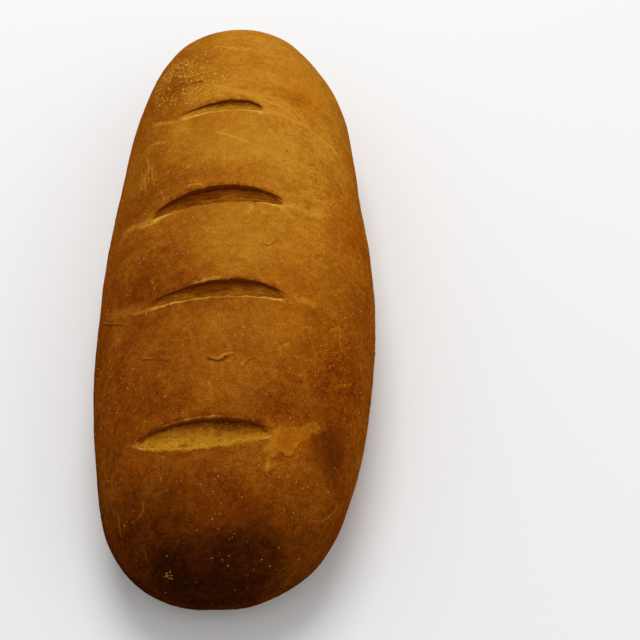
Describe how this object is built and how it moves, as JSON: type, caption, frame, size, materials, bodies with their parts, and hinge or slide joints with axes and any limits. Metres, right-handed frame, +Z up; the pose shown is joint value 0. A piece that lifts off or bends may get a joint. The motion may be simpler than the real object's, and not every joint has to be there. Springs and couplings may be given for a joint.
{
  "type": "scored rye bread loaf",
  "caption": "Long oval rye bread loaf with a domed, flour-speckled crust, shallow crosswise scores and a flat base.",
  "frame": {"origin": "middle of the loaf's box on the plane of its flat base", "axes": "+Y along the loaf towards its lighter, narrower end, +Z up through the scored crown, +X to the right"},
  "size_m": [0.142, 0.352, 0.096],
  "materials": {
    "crust": "baked brown crust, satin, with flour dust and fine blisters"
  },
  "bodies": {
    "root": {"loaf": "crust"}
  },
  "joints": []
}
